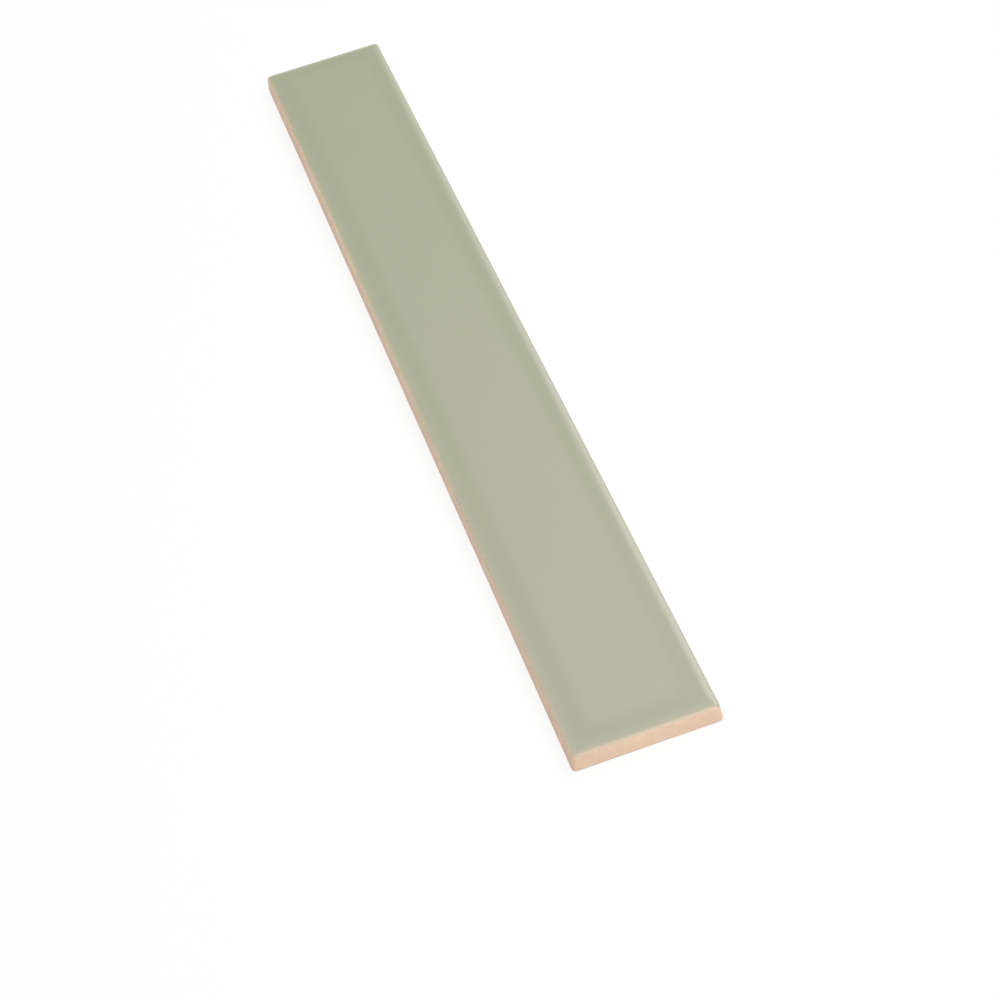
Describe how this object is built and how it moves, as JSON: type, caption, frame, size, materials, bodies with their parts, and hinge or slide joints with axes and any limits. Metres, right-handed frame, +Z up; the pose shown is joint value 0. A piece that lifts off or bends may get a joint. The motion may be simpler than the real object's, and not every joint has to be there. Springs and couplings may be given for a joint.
{
  "type": "subway tile",
  "caption": "Long narrow subway tile of pressed clay, with a glossy sage glaze over its face, bare peach edges and a flat back for bedding in adhesive.",
  "frame": {"origin": "centre of the flat back, on which the tile lies", "axes": "+X along the tile's length, +Y across its width, +Z up out of the glazed face"},
  "size_m": [0.4, 0.05, 0.007],
  "materials": {
    "glazed_clay": "gloss"
  },
  "bodies": {
    "root": {"tile": "glazed_clay"}
  },
  "joints": []
}
